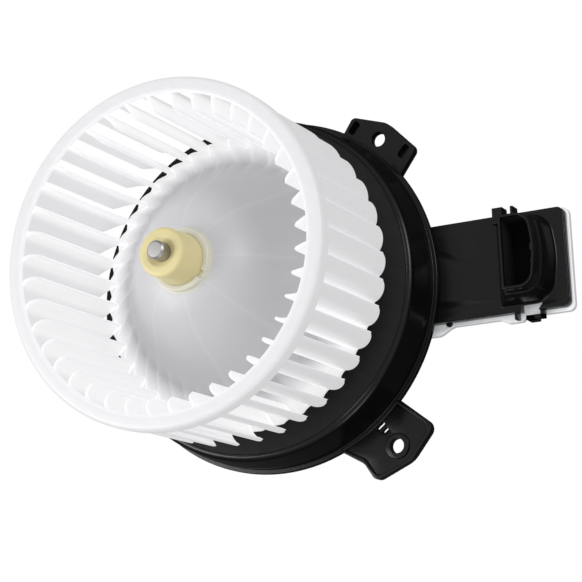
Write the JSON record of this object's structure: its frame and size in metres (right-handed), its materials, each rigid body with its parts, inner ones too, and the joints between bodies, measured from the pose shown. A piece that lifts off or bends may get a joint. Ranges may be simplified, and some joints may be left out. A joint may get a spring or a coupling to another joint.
{
  "type": "car cabin blower motor",
  "caption": "Cabin blower: open bladed wheel on a motor in a round black flange with mounting ears, and a side arm with a plug socket.",
  "frame": {"origin": "shaft axis in the plane of the mounting lip's fan-side face", "axes": "+Z along the shaft towards the fan's air inlet, +X along the controller arm"},
  "size_m": [0.2326, 0.1704, 0.148],
  "materials": {
    "wheel_plastic": "translucent white, satin",
    "bush_nylon": "pale yellow nylon, satin",
    "black_plastic": "black, semi-gloss",
    "shaft_steel": "ground",
    "can_steel": "zinc plated",
    "spring_steel": "plain",
    "screw_steel": "zinc plated",
    "laminated_steel": "stacked sheets",
    "copper": "bare copper",
    "bronze": "sintered",
    "ferrite": "ground",
    "carbon": "dull",
    "board_resin": "dull",
    "chip_resin": "dull",
    "isolator_rubber": "dull",
    "light_alloy": "satin"
  },
  "bodies": {
    "housing": {"brush_spring_a": "spring_steel", "brush_spring_b": "spring_steel", "brush_card": "board_resin", "motor_can": "can_steel", "end_plate": "can_steel", "front_bearing": "bronze", "rear_bearing": "bronze", "front_retainer": "spring_steel", "rear_retainer": "spring_steel", "field_magnets": "ferrite", "magnet_springs": "spring_steel", "front_isolator": "isolator_rubber", "rear_isolator": "isolator_rubber", "flange_housing": "black_plastic", "motor_cover": "black_plastic", "cover_screws": "screw_steel", "controller_housing": "black_plastic", "heat_sink": "light_alloy", "arm_screws": "screw_steel", "control_board": "board_resin", "power_transistor": "chip_resin", "connector_pins": "copper", "motor_leads": "copper"},
    "rotor": {"fan_wheel": "wheel_plastic", "hub_bush": "bush_nylon", "motor_shaft": "shaft_steel", "shaft_clip": "spring_steel", "armature_core": "laminated_steel", "armature_winding": "copper", "commutator": "copper"},
    "brush_a_body": {"brush_a": "carbon"},
    "brush_b_body": {"brush_b": "carbon"}
  },
  "joints": [
    {"name": "fan_spin", "type": "hinge", "parent": "housing", "child": "rotor", "pos_m": [0, 0, 0], "axis": [0, 0, 1], "continuous": true},
    {"name": "brush_a_slide", "type": "slide", "parent": "housing", "child": "brush_a_body", "axis": [1, 0, 0], "range_m": [0, 0.002], "stiffness_N_per_m": 150, "springref_m": -0.01, "deforming": ["brush_spring_a"]},
    {"name": "brush_b_slide", "type": "slide", "parent": "housing", "child": "brush_b_body", "axis": [-1, 0, 0], "range_m": [0, 0.002], "stiffness_N_per_m": 150, "springref_m": -0.01, "deforming": ["brush_spring_b"]}
  ]
}
